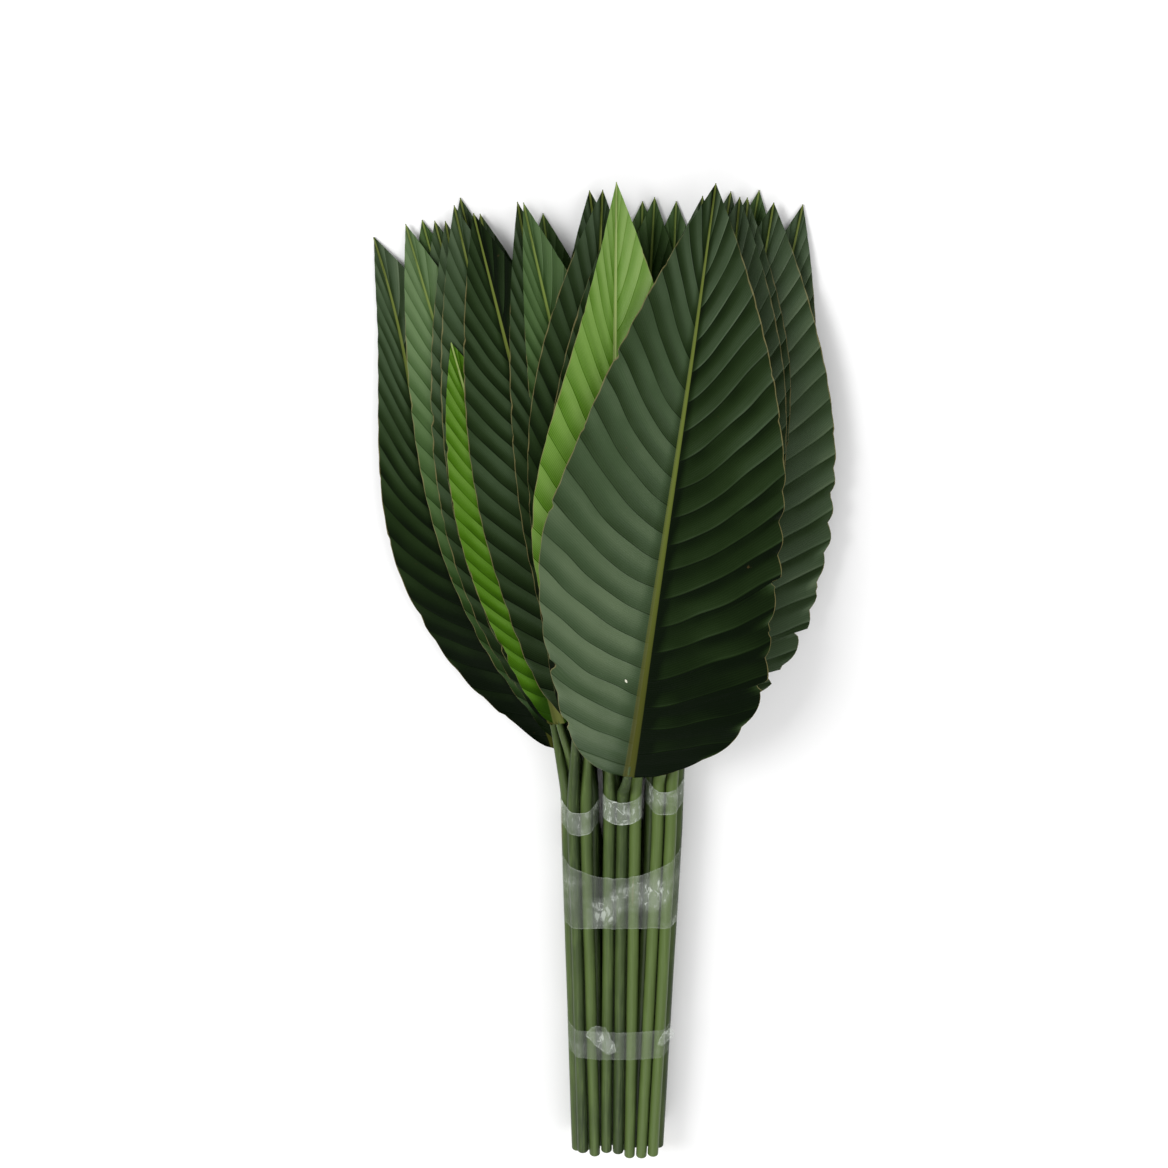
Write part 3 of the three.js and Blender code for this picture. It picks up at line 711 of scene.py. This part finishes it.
# The tape: five bands of thin clear film, pulled tight once round the stalks and stuck to itself. Three
# hold a hand of ten each, and a wide and a narrower one hold them all. Creased and doubled film is whitish.
# The mesh carries how hazy the film is at each point and how far it is from the film's edge.
def film_material():
    material, tree, shader = new_material("clear_tape")
    place = object_place(tree)
    haze = attribute(tree, "haze")
    rim = attribute(tree, "rim")
    warp = noise_of(tree, place, 55.0, 3.0, 0.6)

    # creases: long slanting cells, bent out of line, with bright edges and whitish shards between them
    swirl = node(tree, "ShaderNodeTexNoise", {"Vector": place, "Scale": 40.0}).outputs["Color"]
    bend = {0: swirl, 1: (0.012, 0.012, 0.012), 2: place}
    bent = node(tree, "ShaderNodeVectorMath", bend, operation="MULTIPLY_ADD").outputs[0]
    slant = {"Vector": bent, "Rotation": (0.2, 0.2, 0.6), "Scale": (1.0, 0.34, 1.0)}
    cells = {"Vector": node(tree, "ShaderNodeMapping", slant).outputs[0], "Scale": 190.0}
    edges = node(tree, "ShaderNodeTexVoronoi", cells, feature="DISTANCE_TO_EDGE").outputs["Distance"]
    broken = remap(tree, noise_of(tree, place, 150.0), 0.45, 0.65)
    lines = times(tree, remap(tree, edges, 0.06, 0.0), broken)
    facet = node(tree, "ShaderNodeTexVoronoi", cells).outputs["Color"]
    facet = node(tree, "ShaderNodeSeparateXYZ", {0: facet}).outputs[0]
    shards = times(tree, remap(tree, facet, 0.45, 1.0), remap(tree, edges, 0.0, 0.25))
    clouds = plus(tree, noise_of(tree, place, 30.0, 2.0), times(tree, haze, 0.22))
    clouds = remap(tree, clouds, 0.50, 0.80)
    white = times(tree, clouds, plus(tree, 0.12, times(tree, shards, 0.40)))
    white = plus(tree, white, times(tree, lines, plus(tree, 0.03, times(tree, clouds, 0.45))))
    white = plus(tree, white, times(tree, remap(tree, rim, 1.2, 0.2), 0.22))
    white = times(tree, white, plus(tree, haze, 0.15))
    shader.inputs["Base Color"].default_value = (0.66, 0.72, 0.64, 1.0)
    shader.inputs["Roughness"].default_value = 0.18
    tree.links.new(maths(tree, "MINIMUM", plus(tree, 0.07, white), 0.85), shader.inputs["Alpha"])
    height = plus(tree, warp, times(tree, shards, 0.25))
    bump = node(tree, "ShaderNodeBump", {"Strength": 0.9, "Distance": 0.0018, "Height": height})
    tree.links.new(bump.outputs[0], shader.inputs["Normal"])
    return material


# Where each band starts, its width, the hand it holds or None for all of them, and how hazy it is. The
# wide band has two hazier spots on top.
BANDS = {
    "tape_left": (462, 28, -1, 0.85),
    "tape_middle": (475, 28, 0, 0.9),
    "tape_right": (488, 28, 1, 0.8),
    "tape_wide": (WIDE_START, 76, None, 0.45),
    "tape_lower": (154, 40, None, 0.2),
}
HAZY_SPOTS = ((-10, 368, 15), (36, 384, 19))
WIDE_BAND, AROUND, BAND_STEPS, FILM_LIFT = 60, 240, 24, 0.55
FILM = film_material()
facings = np.arange(72) * math.pi / 36
normals = np.stack((np.cos(facings), np.sin(facings)), axis=1)
for name, (start, width, hand, haziness) in BANDS.items():
    # how far out the stalks that it holds push the film, in each direction, at its two ends
    stalks = [(row, place) for row, count in enumerate(ROW_COUNTS) for place in range(count)]
    held = [stalk for stalk in stalks if hand in (None, hand_of(*stalk))]
    ends, middles, support = [], [], []
    for y in (start, start + width):
        ends.append(np.array([(stem_x(*stalk, y), stem_z(stalk[0])) for stalk in held]))
        middles.append(ends[-1].mean(axis=0))
        farthest = ((ends[-1] - middles[-1]) @ normals.T).max(axis=0)
        support.append(farthest + STEM_RADIUS + FILM_LIFT)
    bm = bmesh.new()
    bmesh.ops.create_circle(bm, segments=AROUND, radius=1)
    ring = list(bm.edges)
    for _ in range(BAND_STEPS):
        made = bmesh.ops.extrude_edge_only(bm, edges=ring)["geom"]
        raised = [part for part in made if isinstance(part, bmesh.types.BMVert)]
        bmesh.ops.translate(bm, verts=raised, vec=(0, 0, 1 / BAND_STEPS))
        ring = [part for part in made if isinstance(part, bmesh.types.BMEdge)]
    haze, rim = (bm.verts.layers.float.new(key) for key in ("haze", "rim"))
    for vertex in bm.verts:
        angle, u = math.atan2(vertex.co.y, vertex.co.x), vertex.co.z
        ray = np.array((math.cos(angle), math.sin(angle)))

        # how far the pulled film is from the middle along this ray: the nearest of its supporting lines
        facing = normals @ ray
        pushed = support[0] * (1 - u) + support[1] * u
        reach = (pushed / np.maximum(facing, 0.05))[facing > 0.05].min()
        spot = reach * ray
        fold = noise.noise(Vector((spot[0] * 0.09, spot[1] * 0.09, u * width * 0.07 + start)))
        fine = noise.noise(Vector((spot[0] * 0.3, spot[1] * 0.3, u * width * 0.25 + start)))
        ragged = noise.noise(Vector((angle * 4.0, start * 0.37, 5.0 + round(u))))
        x, z = middles[0] * (1 - u) + middles[1] * u + (reach + 0.35 * fold + 0.22 * fine) * ray
        y = start + u * width + (2.2 if width > WIDE_BAND else 1.1) * ragged * (2 * u - 1)

        # on top the film is pulled down in the middle, and the wide band more so, and higher on the right
        across = (x - middles[0][0]) / np.ptp(ends[0][:, 0]) * 2
        if z > middles[0][1]:
            if width > WIDE_BAND:
                y += (19 * across * across + 4.5 * across - 9) * u
            else:
                y += 4 * across * across - 2
        vertex.co = Vector((x, y, max(z, STEM_CLEAR))) / 1000 + SHIFT
        vertex[rim] = min(u, 1 - u) * width
        vertex[haze] = haziness
        if width > WIDE_BAND and z > middles[0][1]:
            for spot_x, spot_y, size in HAZY_SPOTS:
                vertex[haze] += 0.6 * math.exp(-((x - spot_x) ** 2 + (y - spot_y) ** 2) / size**2)
    bmesh.ops.recalc_face_normals(bm, faces=bm.faces)
    for face in bm.faces:
        face.smooth = True
    mesh = bpy.data.meshes.new("film_" + name)
    bm.to_mesh(mesh)
    bm.free()
    mesh.materials.append(FILM)
    film = bpy.data.objects.new("film_" + name, mesh)
    bpy.context.collection.objects.link(film)
    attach(film, "root")
    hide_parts(name)


# The two loose ends of the lower band: torn scraps of the same film that stand up from it, crumpled, each
# narrow where it leaves the band and wider at its end.
for name, root, end, breadth, seed in (
    ("film_end_left", (-8, 164, 54), (-31, 210, 60), 25, 2.0),
    ("film_end_right", (46, 176, 54), (58, 204, 57), 13, 6.0),
):
    bm = bmesh.new()
    bmesh.ops.create_grid(bm, x_segments=24, y_segments=36, size=1)
    root, end = Vector(root), Vector(end)
    line = end - root
    side = line.cross(Vector((0, 0, 1))).normalized()
    haze, rim = (bm.verts.layers.float.new(key) for key in ("haze", "rim"))
    for vertex in bm.verts:
        a, u = vertex.co.x, (vertex.co.y + 1) / 2
        half = breadth / 2 * (0.3 + 0.7 * math.sqrt(u)) * (1 + 0.15 * noise.noise(Vector((seed, u * 5, a))))
        crumple = noise.noise(Vector((a * 1.6 + seed, u * 2.4, 0))) * 3.0
        crumple += noise.noise(Vector((a * 4 + seed, u * 6, 2))) * 1.2
        spot = root + line * u * (1 - 0.12 * a * a * u) + side * a * half
        spot.z += 1.6 * u + 2.2 * abs(a) * u + crumple * u
        vertex.co = spot / 1000 + SHIFT
        vertex[haze], vertex[rim] = 0.75, min((1 - abs(a)) * half, (1 - u) * line.length)
    bmesh.ops.recalc_face_normals(bm, faces=bm.faces)
    mesh = bpy.data.meshes.new(name)
    for face in bm.faces:
        face.smooth = True
    bm.to_mesh(mesh)
    bm.free()
    mesh.materials.append(FILM)
    flap = bpy.data.objects.new(name, mesh)
    bpy.context.collection.objects.link(flap)
    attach(flap, "root")


# The floor is a plain pale sheet. Soft light falls mostly from the upper left, with two weaker lamps and a
# bright white room to fill the shade.
bm = bmesh.new()
bmesh.ops.create_grid(bm, x_segments=1, y_segments=1, size=6)
mesh = bpy.data.meshes.new("floor")
bm.to_mesh(mesh)
bm.free()
floor = bpy.data.objects.new("floor", mesh)
floor.location.z = -0.0005
bpy.context.collection.objects.link(floor)
paint, _, shader = new_material("floor_paint")
shader.inputs["Base Color"].default_value = (0.90, 0.90, 0.90, 1.0)
shader.inputs["Roughness"].default_value = 0.9
shader.inputs["Specular IOR Level"].default_value = 0.1
mesh.materials.append(paint)

for name, place, aim, size, power in (
    ("key", (-2.0, 1.2, 2.2), (0, 0.1, 0), 1.3, 62),
    ("fill", (1.9, 0.4, 2.2), (0, 0, 0), 2.0, 18),
    ("low", (-0.4, -2.2, 1.9), (0, -0.1, 0), 1.8, 20),
):
    lamp = bpy.data.lights.new(name, "AREA")
    lamp.shape, lamp.size, lamp.energy = "SQUARE", size, power
    light = bpy.data.objects.new(name, lamp)
    light.location = place
    light.rotation_euler = (Vector(aim) - Vector(place)).to_track_quat("-Z", "Y").to_euler()
    bpy.context.collection.objects.link(light)

world = bpy.data.worlds.new("studio")
world.use_nodes = True
world.node_tree.nodes["Background"].inputs[0].default_value = (1.0, 1.0, 1.0, 1.0)
world.node_tree.nodes["Background"].inputs[1].default_value = 0.62
bpy.context.scene.world = world


# The camera hangs beyond the tips of the leaves and looks down along the whole bunch. Its angle comes from
# half the picture's width and the lens's distance, both in the picture's dots.
HALF_PICTURE, LENS_DISTANCE = 584, 1446
lens = bpy.data.cameras.new("view")
lens.sensor_width, lens.sensor_height, lens.sensor_fit = 36, 36, "HORIZONTAL"
lens.angle = 2 * math.atan(HALF_PICTURE / LENS_DISTANCE)
camera = bpy.data.objects.new("view", lens)
camera.location = Vector((-41, 1334, 1363)) / 1000 + SHIFT
camera.rotation_euler = Euler((math.radians(-23.8), 0, 0))
bpy.context.collection.objects.link(camera)
bpy.context.scene.camera = camera
bpy.context.scene.view_settings.view_transform = "Standard"
